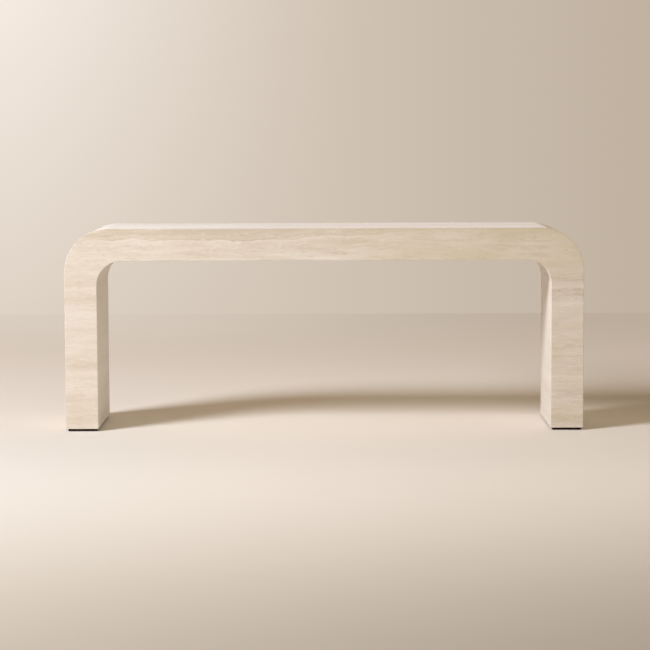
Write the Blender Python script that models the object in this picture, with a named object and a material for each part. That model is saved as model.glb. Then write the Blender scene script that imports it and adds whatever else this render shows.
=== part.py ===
"""Travertine console table: a hollow arch of mitred stone slabs, glued over a plywood core, on levelling feet.

Metres, +Z up. The origin lies on the floor under the middle of the table. +X runs along the table and the
front faces -Y. Left and right are as seen from the front.
"""

import math

import bmesh
import bpy
from mathutils import Vector

# Overall sizes
LENGTH = 1.829
DEPTH = 0.406
HEIGHT = 0.7175

# Front outline of the arch
BEAM_HEIGHT = 0.1143
LEG_WIDTH = 0.1143
OUTER_RADIUS = 0.156
INNER_RADIUS = 0.086
ARC_STEPS = 16

# Stone slabs, mitred to each other along every long edge
SLAB = 0.020
ARRIS = 0.0015
GLUE_LINE = 0.0004

# Plywood core: three ribs shaped like the arch, crossed by spreaders, on a block in each leg
PLY = 0.018
FIT = 0.0003
BEAM_SPREADER_COUNT = 5
LEG_SPREADER_COUNT = 2
BLOCK_HEIGHT = 0.036

# Steel plate under each leg, and the countersunk screws that hold it to the block
PLATE = 0.0079
PLATE_INSET = 0.007
SCREW_HEAD_RADIUS = 0.0046
SCREW_RADIUS = 0.0022
SCREW_LENGTH = 0.025
SCREW_TIP = 0.004
SCREW_TIP_RADIUS = 0.0005
SCREW_EDGE = 0.016
SCREW_STEPS = 12

# Levelling foot: a disc that a threaded stem turns in, and a flanged nut in the block
LEVELLER_EDGE = 0.060
FOOT_RADIUS = 0.014
FOOT_HEIGHT = 0.008
FOOT_EDGE = 0.0012
FOOT_REVEAL = 0.00085
FOOT_CLEARANCE = 0.0015
FOOT_RISE = 0.00065
SOCKET_DEPTH = 0.004
STEM_RADIUS = 0.004
STEM_LENGTH = 0.034
STEM_CHAMFER = 0.0008
COLLAR_FLATS = 0.013
COLLAR_HEIGHT = 0.004
NUT_WALL = 0.0015
NUT_BARREL = 0.011
NUT_FLANGE = 0.0015
NUT_FLANGE_WIDTH = 0.0042
TURN_STEPS = 24

# Finishes: colour, roughness, metallic
TRAVERTINE = ((0.72, 0.61, 0.48), 0.55, 0.0)
PLYWOOD = ((0.55, 0.38, 0.21), 0.70, 0.0)
BLACK_STEEL = ((0.012, 0.012, 0.012), 0.50, 0.6)
ZINC_STEEL = ((0.55, 0.55, 0.53), 0.35, 1.0)
BLACK_NYLON = ((0.02, 0.02, 0.02), 0.60, 0.0)

SHARP_ANGLE = math.radians(30)
OVERCUT = 0.002

# Places that follow from the sizes
HALF_LENGTH = LENGTH / 2
HALF_DEPTH = DEPTH / 2
LEG_X = HALF_LENGTH - LEG_WIDTH / 2
OUTER_CENTRE = (-HALF_LENGTH + OUTER_RADIUS, HEIGHT - OUTER_RADIUS)
INNER_CENTRE = (-HALF_LENGTH + LEG_WIDTH + INNER_RADIUS, HEIGHT - BEAM_HEIGHT - INNER_RADIUS)
STONE_BOTTOM = FOOT_REVEAL + PLATE + GLUE_LINE
CORE_INSET = SLAB + GLUE_LINE
CORE_BOTTOM = STONE_BOTTOM + BLOCK_HEIGHT + GLUE_LINE
CORE_DEPTH = DEPTH - 2 * CORE_INSET
RIB_PLACES = (-CORE_DEPTH / 2 + PLY / 2, 0.0, CORE_DEPTH / 2 - PLY / 2)
SLOT_WIDTH = PLY + 2 * FIT
BEAM_CORE = BEAM_HEIGHT - 2 * CORE_INSET
LEG_CORE = LEG_WIDTH - 2 * CORE_INSET
HOLE_RADIUS = FOOT_RADIUS + FOOT_CLEARANCE
COLLAR_BOTTOM = FOOT_HEIGHT + FIT
FLANGE_BOTTOM = COLLAR_BOTTOM + COLLAR_HEIGHT + FOOT_RISE + FIT
FLANGE_TOP = FLANGE_BOTTOM + NUT_FLANGE
HOLE_TOP = FLANGE_TOP + FIT
BORE_RADIUS = STEM_RADIUS + FIT
BARREL_RADIUS = BORE_RADIUS + NUT_WALL


def finish(name, colour, roughness, metallic):
    """A plain material."""
    material = bpy.data.materials.new(name)
    material.use_nodes = True
    shader = material.node_tree.nodes["Principled BSDF"]
    shader.inputs["Base Color"].default_value = (*colour, 1.0)
    shader.inputs["Roughness"].default_value = roughness
    shader.inputs["Metallic"].default_value = metallic
    return material


def loft(bm, loops, closed=False):
    """Skin each loop of points to the next. The end loops are capped, or joined to each other if closed."""
    rings = []
    for loop in loops:
        rings.append([bm.verts.new(point) for point in loop])
    pairs = list(zip(rings, rings[1:]))
    if closed:
        pairs.append((rings[-1], rings[0]))
    else:
        bm.faces.new(rings[0])
        bm.faces.new(rings[-1])
    for near, far in pairs:
        for i in range(len(near)):
            bm.faces.new((near[i - 1], near[i], far[i], far[i - 1]))


def mesh_of(bm, name, material, smooth=True):
    """The bmesh as a mesh with its faces out. A smooth one is still sharp at its corners."""
    bmesh.ops.recalc_face_normals(bm, faces=bm.faces)
    mesh = bpy.data.meshes.new(name)
    bm.to_mesh(mesh)
    bm.free()
    mesh.materials.append(material)
    if smooth:
        mesh.shade_smooth()
        mesh.set_sharp_from_angle(angle=SHARP_ANGLE)
    return mesh


def lofted(name, material, loops, closed=False, smooth=True):
    bm = bmesh.new()
    loft(bm, loops, closed)
    return mesh_of(bm, name, material, smooth)


def place(name, mesh, location=(0, 0, 0), turn=(0, 0, 0), parent=None):
    """An object of the mesh, with its turn in degrees about X, Y and Z."""
    thing = bpy.data.objects.new(name, mesh)
    thing.location = location
    thing.rotation_euler = [math.radians(angle) for angle in turn]
    thing.parent = parent
    bpy.context.scene.collection.objects.link(thing)
    return thing


def facing_front(points, y):
    """Points (x, z) of the front view, at the depth y."""
    return [(x, y, z) for x, z in points]


def facing_side(points, x):
    """Points (y, z) of the side view, at the place x."""
    return [(x, y, z) for y, z in points]


def facing_up(points, z):
    """Points (x, y) of the plan, at the height z."""
    return [(x, y, z) for x, y in points]


def mirrored(points):
    """The left half's points carried over to the right half, in running order."""
    return [(-x, z) for x, z in reversed(points)]


def left_arc(centre, radius):
    """A quarter circle of the front view, from the leg's side up to the beam."""
    points = []
    for step in range(ARC_STEPS + 1):
        angle = math.pi - math.pi / 2 * step / ARC_STEPS
        points.append((centre[0] + radius * math.cos(angle), centre[1] + radius * math.sin(angle)))
    return points


def outer_arc(inset):
    return left_arc(OUTER_CENTRE, OUTER_RADIUS - inset)


def inner_arc(inset):
    return left_arc(INNER_CENTRE, INNER_RADIUS + inset)


def inner_run(inset, bottom):
    """The inside of the arch's outline: up the left leg, along the soffit and down the right leg."""
    left = [(-HALF_LENGTH + LEG_WIDTH - inset, bottom)] + inner_arc(inset)
    return left + mirrored(left)


def arch_outline(inset):
    """The arch's outline, drawn in from its visible faces by the inset, with the feet cut level."""
    left = [(-HALF_LENGTH + inset, STONE_BOTTOM)] + outer_arc(inset)
    return left + mirrored(left) + inner_run(inset, STONE_BOTTOM)[::-1]


def even_places(start, end, count):
    """Centres of equal bays between two ends."""
    bay = (end - start) / count
    return [start + bay * (i + 0.5) for i in range(count)]


def beam_places():
    """Where the beam's spreaders stand, along the straight of the soffit."""
    return even_places(INNER_CENTRE[0], -INNER_CENTRE[0], BEAM_SPREADER_COUNT)


def leg_places():
    """How high the leg's spreaders lie, along the straight of its outer side."""
    return even_places(CORE_BOTTOM, OUTER_CENTRE[1], LEG_SPREADER_COUNT)


def stepped_edge(start, end, spans, depth):
    """Points from start to end of an edge that steps to its right by the depth over each span."""
    start = Vector(start)
    end = Vector(end)
    along = (end - start).normalized()
    sideways = Vector((along.y, -along.x)) * depth
    points = [start]
    for near, far in spans:
        points += [start + along * near, start + along * near + sideways]
        points += [start + along * far + sideways, start + along * far]
    points.append(end)
    return [tuple(point) for point in points]


def slot_spans(places, start):
    """Where the edge of a rib is slotted for the boards that cross it."""
    return [(middle - start - SLOT_WIDTH / 2, middle - start + SLOT_WIDTH / 2) for middle in places]


def face_panel_mesh(material):
    """One whole face of the arch: eased at the front edge, then mitred back to the slab's full thickness."""
    front = facing_front(arch_outline(ARRIS), -HALF_DEPTH)
    eased = facing_front(arch_outline(ARRIS / 2), -HALF_DEPTH + ARRIS / 2)
    back = facing_front(arch_outline(SLAB), -HALF_DEPTH + SLAB)
    return lofted("face_panel", material, (front, eased, back))


def edge_slab_mesh(name, material, visible, hidden):
    """A slab that runs from face panel to face panel, along the matching points of its two sides."""
    shift = GLUE_LINE * math.sqrt(2)
    section = (
        (0, ARRIS),
        ((ARRIS - shift) / 2, (ARRIS + shift) / 2),
        (SLAB, SLAB + shift),
    )
    loops = []
    for near, far in zip(visible, hidden):
        inward = (Vector(far) - Vector(near)).normalized()
        loop = []
        for inset, y in section:
            x, z = Vector(near) + inward * inset
            loop.append((x, y - HALF_DEPTH, z))
        loops.append(loop + [(x, -y, z) for x, y, z in reversed(loop)])
    return lofted(name, material, loops)


def beam_slab_mesh(name, material, end_x, visible_z, hidden_z):
    """A level slab between the two corner pieces whose straight ends are at end_x."""
    reach = -end_x - GLUE_LINE
    visible = ((-reach, visible_z), (reach, visible_z))
    hidden = ((-reach, hidden_z), (reach, hidden_z))
    return edge_slab_mesh(name, material, visible, hidden)


def leg_slab_mesh(name, material, end_z, visible_x, hidden_x):
    """An upright slab from the leg's foot to the corner piece whose straight end is at end_z."""
    top = end_z - GLUE_LINE
    visible = ((visible_x, STONE_BOTTOM), (visible_x, top))
    hidden = ((hidden_x, STONE_BOTTOM), (hidden_x, top))
    return edge_slab_mesh(name, material, visible, hidden)


def build_stone():
    stone = finish("travertine", *TRAVERTINE)
    panel = face_panel_mesh(stone)
    place("front_face_panel", panel)
    place("back_face_panel", panel, turn=(0, 0, 180))

    soffit_z = HEIGHT - BEAM_HEIGHT
    place("top_slab", beam_slab_mesh("top_slab", stone, OUTER_CENTRE[0], HEIGHT, HEIGHT - SLAB))
    place("soffit_slab", beam_slab_mesh("soffit_slab", stone, INNER_CENTRE[0], soffit_z, soffit_z + SLAB))

    outer_x = -HALF_LENGTH
    inner_x = -HALF_LENGTH + LEG_WIDTH
    pairs = {
        "outer_corner": edge_slab_mesh("outer_corner", stone, outer_arc(0), outer_arc(SLAB)),
        "inner_corner": edge_slab_mesh("inner_corner", stone, inner_arc(0), inner_arc(SLAB)),
        "leg_outer_slab": leg_slab_mesh("leg_outer_slab", stone, OUTER_CENTRE[1], outer_x, outer_x + SLAB),
        "leg_inner_slab": leg_slab_mesh("leg_inner_slab", stone, INNER_CENTRE[1], inner_x, inner_x - SLAB),
    }
    for name, mesh in pairs.items():
        place(f"left_{name}", mesh)
        place(f"right_{name}", mesh, turn=(0, 0, 180))


def rib_mesh(material):
    """A core rib: the arch's outline inside the stone, slotted half through for the spreaders."""
    corner = outer_arc(CORE_INSET)
    foot = (corner[0][0], CORE_BOTTOM)
    leg_slots = slot_spans(leg_places(), CORE_BOTTOM)
    leg = stepped_edge(foot, corner[0], leg_slots, (LEG_CORE + FIT) / 2)
    beam_slots = slot_spans(beam_places(), OUTER_CENTRE[0])
    beam = stepped_edge(corner[-1], mirrored(corner)[0], beam_slots, (BEAM_CORE + FIT) / 2)
    left = leg + corner[1:-1]
    outline = left + beam + mirrored(left) + inner_run(CORE_INSET, CORE_BOTTOM)[::-1]
    return lofted("core_rib", material, (facing_front(outline, -PLY / 2), facing_front(outline, PLY / 2)))


def spreader_mesh(name, material, width):
    """A board across the ribs. Its teeth fill the bays between them, and its back lies in their slots."""
    teeth = []
    for near, far in zip(RIB_PLACES, RIB_PLACES[1:]):
        first = near + CORE_DEPTH / 2 + SLOT_WIDTH / 2
        last = far + CORE_DEPTH / 2 - SLOT_WIDTH / 2
        teeth.append((first, last))
    step = FIT / 2
    toothed = stepped_edge((-CORE_DEPTH / 2, step), (CORE_DEPTH / 2, step), teeth, width / 2 + step)
    outline = toothed + [(CORE_DEPTH / 2, width / 2), (-CORE_DEPTH / 2, width / 2)]
    return lofted(name, material, (facing_side(outline, -PLY / 2), facing_side(outline, PLY / 2)))


def build_core():
    ply = finish("plywood", *PLYWOOD)
    rib = rib_mesh(ply)
    for name, y in zip(("front", "middle", "back"), RIB_PLACES):
        place(f"{name}_core_rib", rib, (0, y, 0))

    beam_spreader = spreader_mesh("beam_spreader", ply, BEAM_CORE)
    for i, x in enumerate(beam_places()):
        place(f"beam_spreader_{i + 1}", beam_spreader, (x, 0, HEIGHT - BEAM_HEIGHT / 2))

    leg_spreader = spreader_mesh("leg_spreader", ply, LEG_CORE)
    for side, sign in (("left", -1), ("right", 1)):
        for i, z in enumerate(leg_places()):
            place(f"{side}_leg_spreader_{i + 1}", leg_spreader, (sign * LEG_X, 0, z), (0, sign * 90, 0))


def ring(radius, z, steps=TURN_STEPS, flats=False):
    """One turn of points about the axis. With flats it is a hexagon, and the radius runs to its flats."""
    points = []
    for step in range(steps):
        angle = 2 * math.pi * step / steps
        reach = radius
        if flats:
            from_flat = (angle + math.pi / 6) % (math.pi / 3) - math.pi / 6
            reach = radius / math.cos(from_flat)
        points.append((reach * math.cos(angle), reach * math.sin(angle), z))
    return points


def moved(loops, x, y):
    """Loops of points carried to a place in the plan."""
    return [[(point[0] + x, point[1] + y, point[2]) for point in loop] for loop in loops]


def foot_rings():
    """A disc with rounded edges and a socket in its top for the stem."""
    return (
        ring(FOOT_RADIUS - FOOT_EDGE, 0),
        ring(FOOT_RADIUS, FOOT_EDGE),
        ring(FOOT_RADIUS, FOOT_HEIGHT - FOOT_EDGE),
        ring(FOOT_RADIUS - FOOT_EDGE, FOOT_HEIGHT),
        ring(BORE_RADIUS, FOOT_HEIGHT),
        ring(BORE_RADIUS, FOOT_HEIGHT - SOCKET_DEPTH),
    )


def stem_rings():
    """A stem that stands in the foot's socket, with a hexagon collar just above the foot for a spanner."""
    bottom = FOOT_HEIGHT - SOCKET_DEPTH + FIT
    collar_top = COLLAR_BOTTOM + COLLAR_HEIGHT
    top = bottom + STEM_LENGTH
    return (
        ring(STEM_RADIUS - STEM_CHAMFER, bottom),
        ring(STEM_RADIUS, bottom + STEM_CHAMFER),
        ring(STEM_RADIUS, COLLAR_BOTTOM),
        ring(COLLAR_FLATS / 2, COLLAR_BOTTOM, flats=True),
        ring(COLLAR_FLATS / 2, collar_top, flats=True),
        ring(STEM_RADIUS, collar_top),
        ring(STEM_RADIUS, top - STEM_CHAMFER),
        ring(STEM_RADIUS - STEM_CHAMFER, top),
    )


def nut_rings():
    """A nut whose flange bears on the roof of the foot's hole and whose barrel goes up into the block."""
    flange_radius = BARREL_RADIUS + NUT_FLANGE_WIDTH
    barrel_top = FLANGE_TOP + NUT_BARREL
    return (
        ring(BORE_RADIUS, FLANGE_BOTTOM),
        ring(flange_radius, FLANGE_BOTTOM),
        ring(flange_radius, FLANGE_TOP),
        ring(BARREL_RADIUS, FLANGE_TOP),
        ring(BARREL_RADIUS, barrel_top),
        ring(BORE_RADIUS, barrel_top),
    )


def leveller_hole_rings():
    """The hole through plate and block for one foot, its nut and its stem."""
    return (
        ring(HOLE_RADIUS, -OVERCUT),
        ring(HOLE_RADIUS, HOLE_TOP),
        ring(BARREL_RADIUS + FIT, HOLE_TOP),
        ring(BARREL_RADIUS + FIT, CORE_BOTTOM + OVERCUT),
    )


def screw_rings(bottom, clearance):
    """A countersunk screw pointing up, with its head's face at the bottom, or the hole that clears it."""
    head_top = FOOT_REVEAL + SCREW_HEAD_RADIUS - SCREW_RADIUS
    top = FOOT_REVEAL + SCREW_LENGTH
    return (
        ring(SCREW_HEAD_RADIUS + clearance, bottom, SCREW_STEPS),
        ring(SCREW_HEAD_RADIUS + clearance, FOOT_REVEAL + FIT, SCREW_STEPS),
        ring(SCREW_RADIUS + clearance, head_top + FIT, SCREW_STEPS),
        ring(SCREW_RADIUS + clearance, top - SCREW_TIP, SCREW_STEPS),
        ring(SCREW_TIP_RADIUS + clearance, top + clearance, SCREW_STEPS),
    )


def screw_places():
    """A screw near each corner of a block, in the plan about the leg's middle."""
    reach_x = LEG_CORE / 2 - SCREW_EDGE
    reach_y = CORE_DEPTH / 2 - SCREW_EDGE
    return [(x, y) for y in (-reach_y, reach_y) for x in (-reach_x, reach_x)]


def leveller_places():
    """The front and the back foot of a leg, on the leg's middle line."""
    reach = CORE_DEPTH / 2 - LEVELLER_EDGE
    return (("front", -reach), ("back", reach))


def holes_mesh(material):
    """Everything that is bored out of a leg's plate and block."""
    bm = bmesh.new()
    for _, y in leveller_places():
        loft(bm, moved(leveller_hole_rings(), 0, y))
    for x, y in screw_places():
        loft(bm, moved(screw_rings(-OVERCUT, FIT), x, y))
    return mesh_of(bm, "base_holes", material)


def board_mesh(name, material, width, depth, bottom, top):
    plan = (
        (-width / 2, -depth / 2),
        (width / 2, -depth / 2),
        (width / 2, depth / 2),
        (-width / 2, depth / 2),
    )
    return lofted(name, material, (facing_up(plan, bottom), facing_up(plan, top)), smooth=False)


def bored(board, holes):
    """Take the holes out of a board."""
    cut = board.modifiers.new("holes", "BOOLEAN")
    cut.operation = "DIFFERENCE"
    cut.solver = "EXACT"
    cut.object = holes


def build_bases():
    ply = bpy.data.materials["plywood"]
    black = finish("black_steel", *BLACK_STEEL)
    zinc = finish("zinc_steel", *ZINC_STEEL)
    nylon = finish("black_nylon", *BLACK_NYLON)

    plate_width = LEG_WIDTH - 2 * PLATE_INSET
    plate_depth = DEPTH - 2 * PLATE_INSET
    plate = board_mesh("base_plate", black, plate_width, plate_depth, FOOT_REVEAL, FOOT_REVEAL + PLATE)
    block_top = STONE_BOTTOM + BLOCK_HEIGHT
    block = board_mesh("base_block", ply, LEG_CORE, CORE_DEPTH, STONE_BOTTOM, block_top)
    holes = holes_mesh(ply)
    screw = lofted("base_screw", black, screw_rings(FOOT_REVEAL, 0))
    foot = lofted("leveller_foot", nylon, foot_rings())
    stem = lofted("leveller_stem", zinc, stem_rings())
    nut = lofted("leveller_nut", zinc, nut_rings(), closed=True)

    for side, sign in (("left", -1), ("right", 1)):
        base = place(f"{side}_base", None, (sign * LEG_X, 0, 0))
        cutter = place(f"{side}_base_holes", holes, parent=base)
        cutter.hide_render = True
        cutter.display_type = "WIRE"
        bored(place(f"{side}_base_plate", plate, parent=base), cutter)
        bored(place(f"{side}_base_block", block, parent=base), cutter)
        for i, (x, y) in enumerate(screw_places()):
            place(f"{side}_base_screw_{i + 1}", screw, (x, y, 0), parent=base)
        for end, y in leveller_places():
            axis = place(f"{side}_{end}_leveller", None, (0, y, 0), parent=base)
            place(f"{side}_{end}_leveller_foot", foot, parent=axis)
            place(f"{side}_{end}_leveller_stem", stem, parent=axis)
            place(f"{side}_{end}_leveller_nut", nut, parent=axis)


def main():
    for thing in list(bpy.data.objects):
        bpy.data.objects.remove(thing, do_unlink=True)
    build_stone()
    build_core()
    build_bases()


main()
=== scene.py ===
"""Looks of the travertine console table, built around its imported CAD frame.

Metres, +Z up, the front faces -Y. Every stone slab of the frame is replaced by a finer one with worn,
rounded arrises. The feet, stems and screws are replaced by pieces with rounded rims, threads and recesses.
Every other node of the frame keeps its shape and gets a material of its own.
"""

import math

import bmesh
import bpy
from mathutils import Matrix, Vector, noise


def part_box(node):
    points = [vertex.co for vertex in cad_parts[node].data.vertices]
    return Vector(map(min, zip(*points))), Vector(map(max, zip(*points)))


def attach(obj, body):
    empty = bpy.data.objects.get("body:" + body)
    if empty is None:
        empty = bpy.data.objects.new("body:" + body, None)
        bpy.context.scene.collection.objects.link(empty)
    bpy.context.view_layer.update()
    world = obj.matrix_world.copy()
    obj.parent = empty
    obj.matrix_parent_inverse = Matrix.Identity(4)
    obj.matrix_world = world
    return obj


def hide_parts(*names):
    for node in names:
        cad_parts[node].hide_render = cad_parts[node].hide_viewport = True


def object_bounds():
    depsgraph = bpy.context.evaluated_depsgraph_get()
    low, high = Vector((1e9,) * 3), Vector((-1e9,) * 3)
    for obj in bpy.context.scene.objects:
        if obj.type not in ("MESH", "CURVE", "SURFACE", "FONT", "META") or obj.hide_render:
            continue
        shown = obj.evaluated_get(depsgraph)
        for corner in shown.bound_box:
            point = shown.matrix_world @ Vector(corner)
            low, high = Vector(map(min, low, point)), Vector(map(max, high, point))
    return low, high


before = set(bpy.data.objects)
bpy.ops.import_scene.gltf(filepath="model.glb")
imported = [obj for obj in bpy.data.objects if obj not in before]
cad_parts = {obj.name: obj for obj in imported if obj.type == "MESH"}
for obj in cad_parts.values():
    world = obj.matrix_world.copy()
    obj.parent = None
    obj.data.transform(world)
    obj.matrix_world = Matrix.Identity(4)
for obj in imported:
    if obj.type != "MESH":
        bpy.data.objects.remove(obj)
cad_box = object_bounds()

# Sizes of the stone, read from the frame
PANEL_LOW, PANEL_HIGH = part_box("front_face_panel")
HALF_LENGTH = cad_box[1].x
HALF_DEPTH = -PANEL_LOW.y
HEIGHT = cad_box[1].z
STONE_BOTTOM = PANEL_LOW.z
SLAB = PANEL_HIGH.y - PANEL_LOW.y
LEG_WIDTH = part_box("left_leg_inner_slab")[1].x + HALF_LENGTH
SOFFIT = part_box("soffit_slab")[0].z
OUTER_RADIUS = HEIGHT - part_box("left_outer_corner")[0].z
INNER_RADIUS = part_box("left_inner_corner")[1].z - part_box("left_inner_corner")[0].z - SLAB
OUTER_CENTRE = Vector((-HALF_LENGTH + OUTER_RADIUS, HEIGHT - OUTER_RADIUS))
INNER_CENTRE = Vector((-HALF_LENGTH + LEG_WIDTH + INNER_RADIUS, SOFFIT - INNER_RADIUS))

# How finely the stone is meshed
STRAIGHT_STEP = 0.006
OUTER_STEPS = 48
INNER_STEPS = 32
ARRIS_STEPS = 4
SHARP_ANGLE = math.radians(30)

# How the stone's arrises are eased, worn and chipped. The scales are those of the wear along an arris
ARRIS = 0.0015
ARRIS_WEAR = 0.35
WEAR_SCALE = 23.0
CHIP_WEAR = 1.1
CHIP_SCALE = 61.0
CHIP_LIMIT = 0.42
WEAR_SHIFT = 3.7
SEAM = 0.0001

# Camera, fitted to the photograph's 650 x 650 frame. Angles are in degrees, lens and sensor in millimetres.
# The spread is half the view's width per metre of distance
CAMERA_PLACE = (0.0437, -8.1801, 1.1069)
CAMERA_YAW = 0.2916
CAMERA_PITCH = 5.2346
CAMERA_ROLL = -0.2118
CAMERA_LENS = 125.92
HALF_SENSOR = 18
VIEW_SPREAD = HALF_SENSOR / CAMERA_LENS


def srgb(red, green, blue):
    """A colour written in display values from 0 to 255, as Blender's linear colour."""
    linear = []
    for value in (red, green, blue):
        value /= 255
        linear.append(value / 12.92 if value <= 0.04045 else ((value + 0.055) / 1.055) ** 2.4)
    return (*linear, 1.0)


def stops(positions, *colours):
    """Stops of a colour ramp, from colours written in display values."""
    return tuple((position, srgb(*colour)) for position, colour in zip(positions, colours))


class Nodes:
    """A node tree, with short calls for the nodes that are used here."""

    def __init__(self, tree):
        self.tree = tree

    def feed(self, socket, value):
        """Link an output to the socket, or set the socket's own value."""
        if isinstance(value, bpy.types.NodeSocket):
            self.tree.links.new(value, socket)
        else:
            socket.default_value = value

    def node(self, kind, settings=None, **inputs):
        """A new node with its settings and inputs, which are named with underscores for spaces."""
        made = self.tree.nodes.new(kind)
        for name, value in (settings or {}).items():
            setattr(made, name, value)
        for name, value in inputs.items():
            self.feed(made.inputs[name.replace("_", " ")], value)
        return made

    def math(self, operation, first, second=0.0, third=0.0, clamp=False):
        made = self.node("ShaderNodeMath", {"operation": operation, "use_clamp": clamp})
        for socket, value in zip(made.inputs, (first, second, third)):
            self.feed(socket, value)
        return made.outputs[0]

    def add(self, *values):
        total = values[0]
        for value in values[1:]:
            total = self.math("ADD", total, value)
        return total

    def times(self, *values):
        total = values[0]
        for value in values[1:]:
            total = self.math("MULTIPLY", total, value)
        return total

    def vector(self, x, y, z):
        return self.node("ShaderNodeCombineXYZ", X=x, Y=y, Z=z).outputs[0]

    def split(self, vector):
        return self.node("ShaderNodeSeparateXYZ", Vector=vector).outputs

    def between(self, value, start, end, to_start=0.0, to_end=1.0, kind="SMOOTHSTEP"):
        """Step of a value from one pair of numbers to another, smooth unless another kind is named."""
        made = self.node(
            "ShaderNodeMapRange", {"interpolation_type": kind},
            Value=value, From_Min=start, From_Max=end, To_Min=to_start, To_Max=to_end,
        )
        return made.outputs[0]

    def mix(self, share, first, second, blend="MIX"):
        made = self.node("ShaderNodeMix", {"data_type": "RGBA", "blend_type": blend})
        self.feed(made.inputs[0], share)
        self.feed(made.inputs[6], first)
        self.feed(made.inputs[7], second)
        return made.outputs[2]

    def ramp(self, value, colour_stops):
        made = self.node("ShaderNodeValToRGB", Fac=value)
        band = made.color_ramp
        for position, _ in colour_stops[1:-1]:
            band.elements.new(position)
        for element, (position, colour) in zip(band.elements, colour_stops):
            element.position = position
            element.color = colour
        return made.outputs[0]

    def seen(self):
        """1 for rays that see or mirror a surface, and 0 for those that only carry its light."""
        rays = self.node("ShaderNodeLightPath").outputs
        share = rays["Is Camera Ray"]
        for kind in ("Is Glossy Ray", "Is Transmission Ray"):
            share = self.math("MAXIMUM", share, rays[kind])
        return share


class Shader(Nodes):
    """A material's node tree, with the place on the piece and the patterns that are made from it."""

    def __init__(self, name):
        self.material = bpy.data.materials.new(name)
        self.material.use_nodes = True
        super().__init__(self.material.node_tree)
        self.surface = self.tree.nodes["Principled BSDF"]
        self.x, self.y, self.z = self.split(self.node("ShaderNodeTexCoord").outputs["Object"])

    def scaled(self, by_x, by_y=None, by_z=None):
        """The place on the piece, scaled the same on all axes or by a number for each."""
        by_y, by_z = by_y or by_x, by_z or by_x
        return self.vector(self.times(self.x, by_x), self.times(self.y, by_y), self.times(self.z, by_z))

    def noise(self, vector, detail=2.0, roughness=0.5):
        made = self.node("ShaderNodeTexNoise", Vector=vector, Scale=1.0, Detail=detail, Roughness=roughness)
        return made.outputs[0]

    def swing(self, vector, size, detail=2.0):
        """Noise that swings to both sides of nothing, by about the size."""
        return self.math("MULTIPLY_ADD", self.noise(vector, detail), 2 * size, -size)

    def cells(self, vector):
        """Distance to the nearest of scattered points, and that point's own random number."""
        made = self.node("ShaderNodeTexVoronoi", Vector=vector, Scale=1.0)
        chance = self.node("ShaderNodeSeparateColor", Color=made.outputs["Color"])
        return made.outputs["Distance"], chance.outputs[0]

    def curve(self, value, points):
        """A line through points (position, height), both from 0 to 1."""
        made = self.node("ShaderNodeFloatCurve", Value=value)
        line = made.mapping.curves[0]
        for position, height in points[1:-1]:
            line.points.new(position, height)
        line.points[0].location = points[0]
        line.points[-1].location = points[-1]
        for point in line.points:
            point.handle_type = "VECTOR"
        made.mapping.update()
        return made.outputs[0]

    def bump(self, height, distance):
        return self.node("ShaderNodeBump", Height=height, Distance=distance, Strength=1.0).outputs[0]

    def finish(self, **inputs):
        for name, value in inputs.items():
            self.feed(self.surface.inputs[name.replace("_", " ")], value)
        return self.material


# The main beds of the stone on each leg: height above the floor to the centimetre, and whether dark or pale
DARK_BED = -0.6
PALE_BED = 0.4
LEFT_BEDS = ((0.12, DARK_BED), (0.24, DARK_BED), (0.30, PALE_BED), (0.47, DARK_BED), (0.53, DARK_BED))
RIGHT_BEDS = (
    (0.04, DARK_BED), (0.13, DARK_BED), (0.18, PALE_BED),
    (0.44, PALE_BED), (0.49, DARK_BED), (0.54, DARK_BED),
)

# How a bed sets in and fades: distance from its middle, and share of its tone
BED_PROFILE = ((-0.022, 0.0), (-0.010, 1.0), (0.010, 1.0), (0.022, 0.0))
BED_STRENGTH = 0.42
BED_CHANGE = (-0.35, 0.35)
BED_DRIFT = 0.3

# On the right leg the beds are stronger, paler and calmer, and the veins between them quieter
RIGHT_STRENGTH = 2.3
RIGHT_LIFT = 0.25
RIGHT_CALM = 0.8
RIGHT_LEG = (0.3, 0.7)
RIGHT_QUIET = 0.5

# The tan bed along the top of the beam: how far its lower edge lies below the top, where along the table that
# edge climbs and by how much, where the bed starts and fades out, and the lines above and below its edge
CAP_DEPTH = 0.042
CAP_CLIMBS = ((-0.10, -0.04, 0.013), (0.06, 0.30, 0.013))
CAP_EDGE = (-0.002, 0.003)
CAP_TONE = -0.4
CAP_START = (-0.86, -0.70, 0.2, 1.0)
CAP_FADE = (0.10, 0.50, 1.0, 0.15)
CAP_LINES = ((0.002, -0.3), (-0.004, 0.35))

# Half the width of a thin line along a bed: where it is gone, and where it is full
LINE_EDGES = (0.0035, 0.0005)

# The painted shade of the top arris, a dark line right under the top edge: from which depth to which it sets
# in, and where along the table
RIM_DEPTH = (0.009, 0.005)
RIM_REACH = (0.25, 0.45)
RIM_SHADE_TONE = -0.7

# How the beam differs from the legs: darker, with a painted highlight, a pale line, near its lower edge, and
# tan to the right as painted shade of the lamp's falloff
BEAM_TONE = -0.22
SOLE_HEIGHT = 0.007
SOLE_HIGHLIGHT_TONE = 0.5
# Painted shade: the beam turns tan towards the right, where the lamp's light falls off
TAN_FALLOFF_REACH = (-0.1, 0.75)
TAN_FALLOFF_SHARE = 0.4

# Waves in the veins: length along them, thickness across them, and how far they swing
ROLL = (0.6, 0.25, 0.012)
WAVE = (0.09, 0.03, 0.012)
RIPPLE = (0.02, 0.01, 0.004)

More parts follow.
